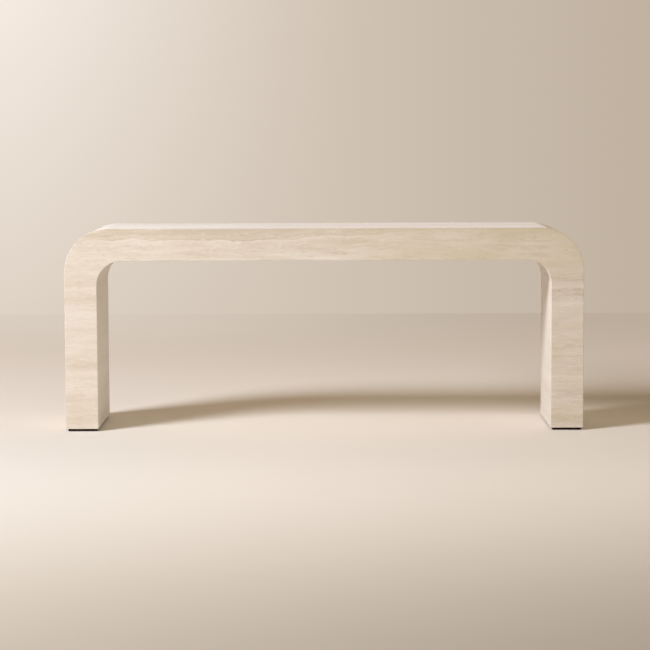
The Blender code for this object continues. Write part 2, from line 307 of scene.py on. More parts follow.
# Marks along the veins: length and thickness, and how much they change from left to right
BROAD_VEINS = (0.50, 0.050, 3.0)
BROAD_TONE = 0.5
MAIN_VEINS = (0.18, 0.015, 3.0)
DRIFT_VEINS = (0.25, 0.03)
VEIN_SHARE = (0.55, 0.85)
LONG_STREAKS = (0.065, 0.0055)
LONG_STREAK_TONE = 0.8
SHORT_STREAKS = (0.024, 0.0024)
SHORT_STREAK_TONE = 0.4
STREAK_REACH = (-0.6, 0.6)
STREAK_SHARE = (0.45, 1.2)
DARK_LINES = (0.12, 0.012, 0.07)
PALE_LINES = (0.10, 0.010, 0.06)

# Patches where marks are few or crowd: length and thickness, and the least and the most of the marks
PATCH_EDGES = (0.36, 0.64)
STREAK_PATCHES = (0.22, 0.035, 0.35, 1.2)
DARK_PATCHES = (0.16, 0.02, -0.5, 0.1)
PALE_PATCHES = (0.15, 0.018, 0.0, 0.5)
BED_PATCHES = (0.10, 0.02, 0.4, 1.2)
SOLE_PATCHES = (0.12, 0.02, -0.3, 1.0)
RIM_PATCHES = (0.20, 0.02, 0.3, 1.0)
OCHRE_PATCHES = (0.35, 0.07, 0.0, 0.2)
OCHRE_REACH = (-0.3, 0.6, 0.6, 2.0)

# Filled voids and open pits: length and thickness, and which of the scattered points have one. The open pits
# are darkened with painted shade
VOIDS = (0.030, 0.006)
VOID_EDGE = (0.40, 0.22)
VOID_CHANCE = (0.74, 0.78)
VOID_SHARE = 0.4
PITS = (0.012, 0.0045)
PIT_CHANCE = (0.92, 0.93)
PIT_SIZES = (0.92, 1.0, 0.12, 0.36)
PIT_RIM = (0.004, 0.0016)
PIT_RAG = 0.22
PIT_SHARE = 0.4

# Honed finish: fineness of the grain, roughness, and depth of the relief
GRAIN_SCALE = 900.0
GRAIN_RELIEF = 0.12
STREAK_RELIEF = 0.05
STONE_RELIEF = 0.0004
STONE_ROUGHNESS = 0.44
VOID_ROUGHNESS = -0.08
PIT_ROUGHNESS = 0.3
GRAIN_ROUGHNESS = 0.08

# Tones of the stone, from its tan beds to its pale ones
TONE_STOPS = (0.0, 0.3, 0.55, 1.0)
FACE_TONES = stops(TONE_STOPS, (197, 179, 156), (208, 192, 172), (219, 205, 188), (230, 218, 203))
# The top and the soffit take paler tones, which paint the sheen of the light on the honed top
TOP_TONES_WITH_SHEEN = stops(TONE_STOPS, (222, 211, 199), (231, 223, 215), (238, 233, 228), (249, 246, 243))
# Painted light on the inner sides: the left one, in the shade, is painted paler as painted fill light, and
# the lit right one stays near the faces' tones
INNER_TONES_WITH_PAINTED_LIGHT = {
    "left": stops(TONE_STOPS, (207, 194, 177), (218, 207, 193), (229, 220, 208), (240, 233, 223)),
    "right": stops(TONE_STOPS, (198, 185, 169), (208, 197, 183), (218, 208, 196), (228, 220, 209)),
}
OCHRE = srgb(207, 190, 160)
FILLER = srgb(228, 216, 200)
# Painted shade inside the open pits
PIT_SHADE = srgb(150, 128, 104)

# The top grows paler to the right as painted sheen, and rosier, and the outer corners turn to its tones
# near their upper end, with their painted sheen
TOP_SHEEN_REACH = (-0.1, 0.75)
TOP_SHEEN_LIFT = 0.6
BLUSH = srgb(240, 220, 213)
BLUSH_REACH = (-0.45, 0.05)
BLUSH_SHARE = 0.38
CROWN = {"left": 0.015, "right": 0.005}

# How strongly the slabs are marked, and how far apart they lie in the block that they are cut from
TOP_CONTRAST = 2.2
INNER_CONTRAST = 0.5
FACE_SHIFT = 0.7
EDGE_SHIFT = 2.0


def bed_tones(shader, height, beds):
    """Tone of the beds at a height, from -1 to 1. The stone is pale at the soffit and evens out above."""
    points = [(0.0, 0.0)]
    for middle, tone in beds:
        points += [(middle + off, tone * share) for off, share in BED_PROFILE]
    points += [(SOFFIT, PALE_BED), (HEIGHT, 0.0)]
    shares = [(level / HEIGHT, 0.5 + tone / 2) for level, tone in points]
    share = shader.curve(shader.math("DIVIDE", height, HEIGHT), shares)
    return shader.math("MULTIPLY_ADD", share, 2.0, -1.0)


def leg_beds(shader, height, level, drift):
    """Tone of the beds through a leg, which differ between the left and the right half of the table."""
    side = shader.between(shader.add(shader.x, shader.times(drift, BED_DRIFT)), *BED_CHANGE)
    left = shader.times(bed_tones(shader, height, LEFT_BEDS), shader.math("SUBTRACT", 1.0, side))
    calm = shader.add(shader.times(height, 1 - RIGHT_CALM), shader.times(level, RIGHT_CALM))
    right = shader.add(bed_tones(shader, calm, RIGHT_BEDS), RIGHT_LIFT)
    return shader.add(left, shader.times(right, side, RIGHT_STRENGTH))


def thin_line(shader, off):
    """1 in the middle of a thin line and 0 beside it, from the distance to its middle."""
    return shader.between(shader.math("ABSOLUTE", off), *LINE_EDGES)


def cap_bed(shader, height):
    """Tone of the tan bed along the top of the beam, with a dark line on its edge and a pale one below."""
    edge = HEIGHT - CAP_DEPTH
    for start, end, climb in CAP_CLIMBS:
        edge = shader.add(edge, shader.between(shader.x, start, end, 0.0, climb))
    above = shader.math("SUBTRACT", height, edge)
    tone = shader.times(shader.between(above, *CAP_EDGE), CAP_TONE)
    for middle, line_tone in CAP_LINES:
        line = thin_line(shader, shader.add(above, -middle))
        tone = shader.add(tone, shader.times(line, line_tone))
    return shader.times(tone, shader.between(shader.x, *CAP_START), shader.between(shader.x, *CAP_FADE))


def rim_arris_shade(shader, level):
    """Tone of the painted shade of the top arris, a dark line right under the top edge, on the right half of
    the beam.
    """
    band = shader.between(level, HEIGHT - RIM_DEPTH[0], HEIGHT - RIM_DEPTH[1])
    return shader.times(band, shader.between(shader.x, *RIM_REACH), RIM_SHADE_TONE)


def sole_highlight(shader, height):
    """Tone of the painted highlight, a pale line that shows here and there near the lower edge of the beam.
    """
    line = thin_line(shader, shader.add(height, -SOFFIT - SOLE_HEIGHT))
    return shader.times(line, SOLE_HIGHLIGHT_TONE)


def blushed(shader, colour):
    """A colour of the top, rosier to the right."""
    return shader.mix(shader.between(shader.x, *BLUSH_REACH, 0.0, BLUSH_SHARE), colour, BLUSH)


def travertine(name, shift, along="x", across="z", into="y", tones=FACE_TONES, contrast=1.0, crown=None):
    """Vein-cut travertine. Its veins run along one axis of the frame and are stacked across another.

    The shift takes the slab from its own place in the block. The crown is how far below the top the stone
    starts to turn to the tones of the top, with their painted sheen.
    """
    shader = Shader(name)
    axes = {"x": shader.x, "y": shader.y, "z": shader.z}
    # u runs along the veins, level across them, v across them with their waves, and w into the slab
    u, level, w = axes[along], axes[across], shader.add(axes[into], shift)

    def spot(height, length, thickness):
        """The place in a noise whose marks have this length and thickness."""
        along_by = shader.times(u, 1 / length)
        return shader.vector(along_by, shader.times(height, 1 / thickness), shader.times(w, 1 / length))

    def swell(length, thickness, size):
        """How far a wave lifts the veins."""
        return shader.swing(spot(level, length, thickness), size)

    ripple = swell(*RIPPLE)
    v = shader.add(level, swell(*ROLL), swell(*WAVE), ripple)

    def veins(length, thickness, detail=2.0):
        """Noise drawn out along the veins."""
        return shader.swing(spot(v, length, thickness), 1.0, detail)

    def patches(length, thickness, low, high):
        """Where marks are few and where they crowd."""
        return shader.between(shader.noise(spot(v, length, thickness)), *PATCH_EDGES, low, high)

    def lines(length, thickness, width):
        """Thin wavy lines along the veins."""
        return shader.between(shader.math("ABSOLUTE", veins(length, thickness)), width, 0.0)

    streaks = shader.add(
        shader.times(veins(*LONG_STREAKS), LONG_STREAK_TONE),
        shader.times(veins(*SHORT_STREAKS), SHORT_STREAK_TONE),
    )
    streaks = shader.times(streaks, shader.between(shader.x, *STREAK_REACH, *STREAK_SHARE))
    on_beam = shader.between(shader.z, SOFFIT - INNER_RADIUS, SOFFIT)
    right_leg = shader.times(shader.math("SUBTRACT", 1.0, on_beam), shader.between(shader.x, *RIGHT_LEG))
    quiet = shader.math("MULTIPLY_ADD", right_leg, -RIGHT_QUIET, 1.0)
    main_share = shader.between(shader.x, *STREAK_REACH, *VEIN_SHARE)
    tone = shader.add(
        shader.times(veins(*BROAD_VEINS), BROAD_TONE, quiet),
        shader.times(veins(*MAIN_VEINS), main_share, quiet),
        shader.times(streaks, patches(*STREAK_PATCHES)),
        shader.times(lines(*DARK_LINES), patches(*DARK_PATCHES)),
        shader.times(lines(*PALE_LINES), patches(*PALE_PATCHES)),
    )
    if across == "z":
        beds = leg_beds(shader, v, level, veins(*DRIFT_VEINS))
        tone = shader.add(tone, shader.times(beds, BED_STRENGTH, patches(*BED_PATCHES)))
    if (along, across) == ("x", "z"):
        # Painted highlight along the lower edge of the beam
        sole = shader.times(sole_highlight(shader, v), patches(*SOLE_PATCHES))
        # Painted shade of the top arris
        rim = shader.times(rim_arris_shade(shader, shader.add(level, ripple)), patches(*RIM_PATCHES))
        tone = shader.add(tone, cap_bed(shader, v), rim, sole, shader.times(on_beam, BEAM_TONE))
    tone = shader.times(tone, contrast)
    # Painted sheen: the top and the soffit grow paler to the right
    if across == "y":
        tone = shader.add(tone, shader.between(shader.x, *TOP_SHEEN_REACH, 0.0, TOP_SHEEN_LIFT))

    share = shader.math("MULTIPLY_ADD", tone, 0.5, 0.5, clamp=True)
    colour = shader.ramp(share, tones)
    if tones == FACE_TONES:
        ochre = shader.times(patches(*OCHRE_PATCHES), shader.between(shader.x, *OCHRE_REACH))
        # Painted shade of the lamp's falloff: the beam turns tan towards the right
        tan = shader.times(on_beam, shader.between(shader.x, *TAN_FALLOFF_REACH, 0.0, TAN_FALLOFF_SHARE))
        colour = shader.mix(shader.math("ADD", ochre, tan, clamp=True), colour, OCHRE)
    if tones == TOP_TONES_WITH_SHEEN:
        colour = blushed(shader, colour)
    # Painted sheen: the outer corners turn to the top's paler tones near their upper end
    if crown:
        lifted = shader.add(share, shader.between(shader.x, *TOP_SHEEN_REACH, 0.0, TOP_SHEEN_LIFT / 2))
        pale = blushed(shader, shader.ramp(lifted, TOP_TONES_WITH_SHEEN))
        colour = shader.mix(shader.between(shader.z, HEIGHT - crown, HEIGHT), colour, pale)

    void_reach, void_chance = shader.cells(spot(v, *VOIDS))
    filled = shader.times(shader.between(void_reach, *VOID_EDGE), shader.between(void_chance, *VOID_CHANCE))
    colour = shader.mix(shader.times(filled, VOID_SHARE), colour, FILLER)
    pit_reach, pit_chance = shader.cells(spot(v, *PITS))
    ragged = shader.add(pit_reach, shader.swing(spot(v, *PIT_RIM), PIT_RAG, detail=3.0))
    pit_size = shader.between(pit_chance, *PIT_SIZES)
    pit_shape = shader.between(ragged, pit_size, shader.times(pit_size, 0.5))
    pits = shader.times(pit_shape, shader.between(pit_chance, *PIT_CHANCE))
    # Painted shade darkens the open pits
    colour = shader.mix(shader.times(pits, PIT_SHARE), colour, PIT_SHADE)

    fine = shader.vector(*[shader.times(axis, GRAIN_SCALE) for axis in (u, v, w)])
    grain = shader.noise(fine, detail=3.0)
    relief = shader.add(
        shader.times(grain, GRAIN_RELIEF), shader.times(streaks, STREAK_RELIEF), shader.times(pits, -1.0)
    )
    roughness = shader.add(
        STONE_ROUGHNESS,
        shader.times(filled, VOID_ROUGHNESS),
        shader.times(pits, PIT_ROUGHNESS),
        shader.times(grain, GRAIN_ROUGHNESS),
    )
    return shader.finish(Base_Color=colour, Roughness=roughness, Normal=shader.bump(relief, STONE_RELIEF))


def straight(start, end, inward):
    """Evenly spaced points of a straight run of the arch's edge, each with the direction into the stone."""
    start, end = Vector(start), Vector(end)
    count = max(1, round((end - start).length / STRAIGHT_STEP))
    return [(start.lerp(end, step / count), Vector(inward)) for step in range(count + 1)]


def bend(centre, radius, steps, inward_sign):
    """A quarter turn of the arch's edge on the left, from the leg up to the beam."""
    points = []
    for step in range(steps + 1):
        angle = math.pi - math.pi / 2 * step / steps
        outward = Vector((math.cos(angle), math.sin(angle)))
        points.append((centre + outward * radius, outward * inward_sign))
    return points


def mirrored(points):
    """A run of the left half carried over to the right half, in running order."""
    return [(Vector((-at.x, at.y)), Vector((-inward.x, inward.y))) for at, inward in reversed(points)]


def stone_runs():
    """The edge of the arch, slab by slab. Each point is (x, z) with its direction into the stone."""
    outer_x, inner_x = -HALF_LENGTH, -HALF_LENGTH + LEG_WIDTH
    runs = {
        "left_leg_outer_slab": straight((outer_x, STONE_BOTTOM), (outer_x, OUTER_CENTRE.y), (1, 0)),
        "left_outer_corner": bend(OUTER_CENTRE, OUTER_RADIUS, OUTER_STEPS, -1),
        "top_slab": straight((OUTER_CENTRE.x, HEIGHT), (-OUTER_CENTRE.x, HEIGHT), (0, -1)),
        "left_leg_inner_slab": straight((inner_x, STONE_BOTTOM), (inner_x, INNER_CENTRE.y), (-1, 0)),
        "left_inner_corner": bend(INNER_CENTRE, INNER_RADIUS, INNER_STEPS, 1),
        "soffit_slab": straight((INNER_CENTRE.x, SOFFIT), (-INNER_CENTRE.x, SOFFIT), (0, 1)),
    }
    for name in ("leg_outer_slab", "outer_corner", "leg_inner_slab", "inner_corner"):
        runs[f"right_{name}"] = mirrored(runs[f"left_{name}"])
    return runs


def joined(runs, *names):
    """Several runs end to end, without the points that they share."""
    points = list(runs[names[0]])
    for name in names[1:]:
        points += runs[name][1:]
    return points


def arris_size(at, side):
    """How far an arris is rounded at a point of the edge: uneven, with a small chip here and there."""
    place = Vector((at.x, side * WEAR_SHIFT, at.y))
    wear = 1 + ARRIS_WEAR * noise.noise(place * WEAR_SCALE)
    chip = max(0.0, noise.noise(place * CHIP_SCALE) - CHIP_LIMIT)
    return ARRIS * (wear + CHIP_WEAR * chip)


def arris_curve(size):
    """Inset and depth along a rounded arris, from the flat face to the mitre in its middle."""
    points = []
    for step in range(ARRIS_STEPS + 1):
        angle = math.pi / 4 * step / ARRIS_STEPS
        points.append((size * (1 - math.sin(angle)), size * (1 - math.cos(angle))))
    return points


def skin(bm, loops):
    """Faces between each loop of points and the next, and a cap on both ends."""
    rings = []
    for loop in loops:
        rings.append([bm.verts.new(point) for point in loop])
    for near, far in zip(rings, rings[1:]):
        for i in range(len(near)):
            bm.faces.new((near[i - 1], near[i], far[i], far[i - 1]))
    return [bm.faces.new(rings[0]), bm.faces.new(rings[-1])]


def piece(name, bm, flats, material):
    """An object of the bmesh: smooth, but sharp at its corners and round its flat faces."""
    bmesh.ops.recalc_face_normals(bm, faces=bm.faces)
    for face in bm.faces:
        face.smooth = True
    for edge in bm.edges:
        edge.smooth = edge.calc_face_angle(0.0) < SHARP_ANGLE
    for face in flats:
        for edge in face.edges:
            edge.smooth = False
    mesh = bpy.data.meshes.new(name)
    bm.to_mesh(mesh)
    bm.free()
    mesh.materials.append(material)
    made = bpy.data.objects.new(name, mesh)
    bpy.context.scene.collection.objects.link(made)
    return made


def face_panel(name, runs, side, material):
    """One whole face of the arch, rounded at its arris and mitred behind it. Side is -1 in front, 1 behind.

    The lower end of each leg is eased like the arris: there a point of the face rises as far as it is set in.
    """
    outer = joined(
        runs, "left_leg_outer_slab", "left_outer_corner", "top_slab", "right_outer_corner",
        "right_leg_outer_slab",
    )
    inner = joined(
        runs, "left_leg_inner_slab", "left_inner_corner", "soffit_slab", "right_inner_corner",
        "right_leg_inner_slab",
    )
    loops = [[] for _ in range(ARRIS_STEPS + 2)]
    for at, inward in outer + inner[::-1]:
        arris = arris_curve(arris_size(at, side))
        for loop, (inset, depth) in zip(loops, arris + [(SLAB, SLAB)]):
            point = at + inward * inset
            ease = max(0.0, min(inset, arris[0][0]) - arris[-1][0]) if depth < SLAB else 0.0
            lift = ease if at.y == STONE_BOTTOM else 0.0
            loop.append((point.x, side * (HALF_DEPTH - depth), point.y + lift))
    bm = bmesh.new()
    flats = skin(bm, loops)
    return piece(name, bm, flats, material)


def edge_slab(name, run, material):
    """A slab between the face panels along a run of the edge, rounded and mitred where it meets them."""
    loops = []
    for at, inward in run:
        loop = []
        for side in (-1, 1):
            half = []
            for depth, inset in arris_curve(arris_size(at, side)) + [(SLAB, SLAB)]:
                point = at + inward * inset
                half.append((point.x, side * (HALF_DEPTH - depth - SEAM), point.y))
            loop += half[::-1] if side < 0 else half
        loops.append(loop)
    bm = bmesh.new()
    flats = skin(bm, loops)
    return piece(name, bm, flats, material)


def edge_stone(name, shift):
    """Stone of an edge slab: veins along the table on top and soffit, and level beds on the others."""
    if name in ("top_slab", "soffit_slab"):
        # The top and the soffit take the paler tones of painted sheen
        return travertine(f"travertine_{name}", shift, "x", "y", "z", TOP_TONES_WITH_SHEEN, TOP_CONTRAST)
    side = name.split("_")[0]
    tones, contrast = FACE_TONES, 1.0
    if "inner" in name:
        # The inner sides take tones with painted light: paler on the shaded left
        tones, contrast = INNER_TONES_WITH_PAINTED_LIGHT[side], INNER_CONTRAST
    crown = CROWN[side] if name.endswith("outer_corner") else None
    return travertine(f"travertine_{name}", shift, "y", "z", "x", tones, contrast, crown)


def build_stone():
    runs = stone_runs()
    made = {}
    for i, (name, side) in enumerate((("front_face_panel", -1), ("back_face_panel", 1))):
        stone = travertine(f"travertine_{name}", FACE_SHIFT * i)
        made[name] = face_panel(f"{name}_stone", runs, side, stone)
    for i, (name, run) in enumerate(runs.items()):
        made[name] = edge_slab(f"{name}_stone", run, edge_stone(name, EDGE_SHIFT + i))
    for node, stone in made.items():
        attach(stone, "table")
        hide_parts(node)


# Materials of the core and the hardware: each a pair of tones
BIRCH = (srgb(196, 160, 116), srgb(222, 190, 148))
BIRCH_END = (srgb(168, 130, 90), srgb(192, 155, 112))
GLUE = srgb(120, 86, 56)
BLACK_COAT = (srgb(40, 28, 16), srgb(54, 38, 23))
ZINC = (srgb(172, 170, 162), srgb(206, 204, 196))
NYLON = (srgb(22, 21, 20), srgb(36, 34, 32))
SCUFF = srgb(84, 78, 70)

# Plywood: plies of a board, marks per metre along and across the grain, how far apart the plies lie in the
# grain, and the share of a ply's thickness and colour that its glue line takes
PLIES = 13
GRAIN_ALONG = 9.0
GRAIN_ACROSS = 210.0
PLY_SHIFT = 3.7
GLUE_EDGE = (0.42, 0.48, 0.0, 0.6)
FIBRE_RELIEF = 0.0003
FIBRE_ROUGHNESS = 0.1
WOOD_ROUGHNESS = 0.58

# Finishes of the hardware: size of their clouds and tool marks, and how they change roughness and relief
CLOUD = 0.015
CLOUD_EDGES = (0.3, 0.7)
COAT_RELIEF = 0.0002
COAT_CLOUDS = 0.2
SCUFF_EDGES = (0.45, 0.65, 0.0, 0.5)
TOOL_MARK = 0.00025
ZINC_RELIEF = 0.00004
ZINC_ROUGHNESS = 0.22
ZINC_CLOUDS = 0.12
ZINC_RINGS = 0.12


def plywood(name, across, plies):
    """Birch plywood: plies stacked across the board's thin axis, with the grain turning from ply to ply."""
    shader = Shader(name)
    inside = shader.split(shader.node("ShaderNodeTexCoord").outputs["Generated"])
    layers = shader.math("MULTIPLY_ADD", inside[across], plies - 1.0, 0.5)
    ply = shader.math("FLOOR", layers)
    turned = shader.math("MODULO", ply, 2.0)
    axes = {"X": shader.x, "Y": shader.y, "Z": shader.z}
    first, second = [axis for letter, axis in axes.items() if letter != across]

    def grain(along, beside):
        place = shader.vector(
            shader.times(along, GRAIN_ALONG), shader.times(beside, GRAIN_ACROSS), shader.times(ply, PLY_SHIFT)
        )
        return shader.noise(place, detail=4.0, roughness=0.6)

    long_grain = shader.mix(grain(first, second), *BIRCH)
    end_grain = shader.mix(grain(second, first), *BIRCH_END)
    colour = shader.mix(turned, long_grain, end_grain)
    from_middle = shader.math("ABSOLUTE", shader.math("SUBTRACT", shader.math("FRACT", layers), 0.5))
    colour = shader.mix(shader.between(from_middle, *GLUE_EDGE), colour, GLUE)
    fibre = shader.add(grain(first, second), grain(second, first))
    roughness = shader.math("MULTIPLY_ADD", fibre, FIBRE_ROUGHNESS, WOOD_ROUGHNESS)
    return shader.finish(Base_Color=colour, Roughness=roughness, Normal=shader.bump(fibre, FIBRE_RELIEF))


def coated(name, tones, roughness, peel, shine, scuff=0.0):
    """A plain finish with the fine unevenness of a coat or a mould, and scuffs where it meets the floor.

    The peel is the size of that unevenness, and the scuff is how high above the floor it is worn.
    """
    shader = Shader(name)
    cloud = shader.noise(shader.scaled(1 / CLOUD), detail=4.0)
    skin_bumps = shader.noise(shader.scaled(1 / peel))
    colour = shader.mix(shader.between(cloud, *CLOUD_EDGES), *tones)
    if scuff:
        worn = shader.times(shader.between(shader.z, scuff, 0.0), shader.between(skin_bumps, *SCUFF_EDGES))
        colour = shader.mix(worn, colour, SCUFF)
    rough = shader.math("MULTIPLY_ADD", cloud, COAT_CLOUDS, roughness - COAT_CLOUDS / 2)
    relief = shader.bump(skin_bumps, COAT_RELIEF)
    return shader.finish(Base_Color=colour, Roughness=rough, Specular_IOR_Level=shine, Normal=relief)


def plated(name):
    """Zinc plate over turned steel: faint rings about the axis and a cloudy tint."""
    shader = Shader(name)
    cloud = shader.noise(shader.scaled(2 / CLOUD), detail=3.0)
    rings = shader.noise(shader.scaled(1 / CLOUD, 1 / CLOUD, 1 / TOOL_MARK))
    colour = shader.mix(shader.between(cloud, *CLOUD_EDGES), *ZINC)
    rough = shader.add(ZINC_ROUGHNESS, shader.times(cloud, ZINC_CLOUDS), shader.times(rings, ZINC_RINGS))
    relief = shader.bump(rings, ZINC_RELIEF)
    return shader.finish(Base_Color=colour, Roughness=rough, Metallic=1.0, Normal=relief)


# Hardware details that are finer than the frame's solids
TURN_STEPS = 48
THREAD_STEPS = 6
THREAD_FLANK = 2.4
THREAD_VALLEY = 0.7
STEM_PITCH = 0.00125
STEM_RADIUS = 0.004
STEM_ROOT = 0.00335
STEM_CHAMFER = 0.0007
COLLAR_FLATS = 0.013
COLLAR_HEIGHT = 0.004
COLLAR_CHAMFER = 0.0005
SOCKET_FIT = 0.0003
FOOT_ROUND = 0.0016
FOOT_ROUND_STEPS = 5
FOOT_RECESS = 0.0006
FOOT_RECESS_RADIUS = 0.0088
FOOT_GROOVE = 0.0004
FOOT_SCUFF = 0.003
SCREW_RADIUS = 0.0022
SCREW_ROOT = 0.0015
SCREW_PITCH = 0.0018
SCREW_RIM = 0.0002
SCREW_TIP = 0.004
SCREW_KEY = 0.0030
SCREW_KEY_DEPTH = 0.0014


def turn(radius, height, hexagon=False):
    """A ring of points about the axis. A radius may follow the angle, and a hexagon's runs to its flats."""
    points = []
    for step in range(TURN_STEPS):
        angle = 2 * math.pi * step / TURN_STEPS
        reach = radius(angle) if callable(radius) else radius
        if hexagon:
            reach /= math.cos((angle + math.pi / 6) % (math.pi / 3) - math.pi / 6)
        points.append((reach * math.cos(angle), reach * math.sin(angle), height))
    return points


def thread(root, crest, pitch, start, end, end_crest=None):
    """Rings of a screw thread from one height to another, whose crest may taper to another radius."""
    end_crest = crest if end_crest is None else end_crest
    count = round((end - start) / pitch * THREAD_STEPS)
    rings = []
    for step in range(count + 1):
        share = step / count
        height = start + (end - start) * share
        top = crest + (end_crest - crest) * share
        bottom = top * root / crest

        def reach(angle):
            turns = (height / pitch - angle / (2 * math.pi)) % 1.0
            ridge = THREAD_FLANK * (1 - abs(2 * turns - 1)) - THREAD_VALLEY
            return bottom + (top - bottom) * min(1.0, max(0.0, ridge))

        rings.append(turn(reach, height))
    return rings


def rounded(radius, height, size, start):
    """Rings of a quarter round at a disc's rim, from the start angle on. 0 is the rim and 90 the top."""
    rings = []
    for step in range(FOOT_ROUND_STEPS + 1):
        angle = math.radians(start + 90 * step / FOOT_ROUND_STEPS)
        rings.append(turn(radius - size + size * math.cos(angle), height + size * math.sin(angle)))
    return rings


def foot_rings(low, high):
    """A moulded foot: hollowed below, rounded at both rims, grooved round the side, with a socket on top."""
    radius = (high.x - low.x) / 2
    middle = (low.z + high.z) / 2
    socket = STEM_RADIUS + SOCKET_FIT
    return [
        turn(FOOT_RECESS_RADIUS - FOOT_RECESS, low.z + FOOT_RECESS),
        turn(FOOT_RECESS_RADIUS, low.z),
        *rounded(radius, low.z + FOOT_ROUND, FOOT_ROUND, -90),
        turn(radius, middle - 2 * FOOT_GROOVE),
        turn(radius - FOOT_GROOVE, middle - FOOT_GROOVE),
        turn(radius - FOOT_GROOVE, middle + FOOT_GROOVE),
        turn(radius, middle + 2 * FOOT_GROOVE),
        *rounded(radius, high.z - FOOT_ROUND, FOOT_ROUND, 0),
        turn(socket + SOCKET_FIT, high.z),
        turn(socket, high.z - SOCKET_FIT),
        turn(socket, middle),
    ]


def stem_rings(low, high, collar):
    """A stem: a plain end for the socket, a chamfered hexagon collar, and an M8 thread up to its top."""
    flats = COLLAR_FLATS / 2
    collar_top = collar + COLLAR_HEIGHT
    return [
        turn(STEM_RADIUS - STEM_CHAMFER, low.z),
        turn(STEM_RADIUS, low.z + STEM_CHAMFER),
        turn(STEM_RADIUS, collar),
        turn(flats, collar),
        turn(flats, collar + COLLAR_CHAMFER, hexagon=True),
        turn(flats, collar_top - COLLAR_CHAMFER, hexagon=True),
        turn(flats, collar_top),
        turn(STEM_ROOT, collar_top),
        *thread(STEM_ROOT, STEM_RADIUS, STEM_PITCH, collar_top + SOCKET_FIT, high.z - STEM_CHAMFER),
        turn(STEM_ROOT - STEM_CHAMFER, high.z),
    ]


def screw_rings(low, high):
    """A countersunk screw that points up, with a hexagon recess in its head and a thread to its tip."""
    head = (high.x - low.x) / 2
    neck = low.z + head - SCREW_RADIUS + SCREW_RIM
    return [
        turn(SCREW_KEY / 2, low.z + SCREW_KEY_DEPTH, hexagon=True),
        turn(SCREW_KEY / 2, low.z, hexagon=True),
        turn(head, low.z),
        turn(head, low.z + SCREW_RIM),
        turn(SCREW_RADIUS, neck),
        *thread(SCREW_ROOT, SCREW_RADIUS, SCREW_PITCH, neck + SCREW_PITCH, high.z - SCREW_TIP),
        *thread(SCREW_ROOT, SCREW_RADIUS, SCREW_PITCH, high.z - SCREW_TIP, high.z, SCREW_RIM)[1:],
    ]


def turned_piece(name, node, body, rings, material):
    """A piece turned about the upright axis through the node's middle, in place of the node."""
    low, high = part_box(node)
    bm = bmesh.new()
    skin(bm, rings)
    bmesh.ops.translate(bm, verts=bm.verts, vec=((low.x + high.x) / 2, (low.y + high.y) / 2, 0))
    made = piece(name, bm, [], material)
    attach(made, body)
    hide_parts(node)


def keep_node(node, material):
    """A node of the frame whose shape is right keeps it, and gets a material."""
    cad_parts[node].material_slots[0].material = material


def build_core():
    ribs = plywood("plywood_ribs", "Y", PLIES)
    for place in ("front", "middle", "back"):
        keep_node(f"{place}_core_rib", ribs)
    beam_boards = plywood("plywood_beam_spreaders", "X", PLIES)
    for i in range(1, 6):
        keep_node(f"beam_spreader_{i}", beam_boards)
    leg_boards = plywood("plywood_leg_spreaders", "Z", PLIES)
    blocks = plywood("plywood_blocks", "Z", 2 * PLIES)
    for side in ("left", "right"):
        keep_node(f"{side}_base_block", blocks)
        for i in (1, 2):
            keep_node(f"{side}_leg_spreader_{i}", leg_boards)


def build_hardware():
    nylon = coated("moulded_nylon", NYLON, roughness=0.55, peel=0.0006, shine=0.4, scuff=FOOT_SCUFF)
    zinc = plated("zinc_plate")
    black = coated("black_powder_coat", BLACK_COAT, roughness=0.62, peel=0.0012, shine=0.05)
    for side in ("left", "right"):
        for end in ("front", "back"):
            node = f"{side}_{end}_leveller"
            foot_low, foot_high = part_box(f"{node}_foot")
            stem_low, stem_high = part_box(f"{node}_stem")
            collar = foot_high.z + SOCKET_FIT
            turned_piece(
                f"{node}_foot_disc", f"{node}_foot", f"{side}_{end}_foot",
                foot_rings(foot_low, foot_high), nylon,
            )
            turned_piece(
                f"{node}_stem_thread", f"{node}_stem", f"{side}_{end}_stem",
                stem_rings(stem_low, stem_high, collar), zinc,
            )
            keep_node(f"{node}_nut", zinc)
        keep_node(f"{side}_base_plate", black)
        for i in range(1, 5):
            node = f"{side}_base_screw_{i}"
            turned_piece(f"{node}_thread", node, "table", screw_rings(*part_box(node)), black)


def build_camera():
    camera = bpy.data.objects.new("camera", bpy.data.cameras.new("camera"))
    camera.data.lens = CAMERA_LENS
    aim = Matrix.Rotation(math.radians(CAMERA_YAW), 4, "Z")
    aim = aim @ Matrix.Rotation(math.radians(90 - CAMERA_PITCH), 4, "X")
    aim = aim @ Matrix.Rotation(math.radians(CAMERA_ROLL), 4, "Z")
    camera.matrix_world = Matrix.Translation(CAMERA_PLACE) @ aim
    bpy.context.scene.collection.objects.link(camera)
    bpy.context.scene.camera = camera


# Floor: pale, from behind the camera to the photograph's horizon
FLOOR_BACK = 4.6
FLOOR_REACH = 16.0
FLOOR_ROUGHNESS = 0.8
FLOOR_PATCH_SCALE = 3.0
FLOOR_PATCH = 0.02

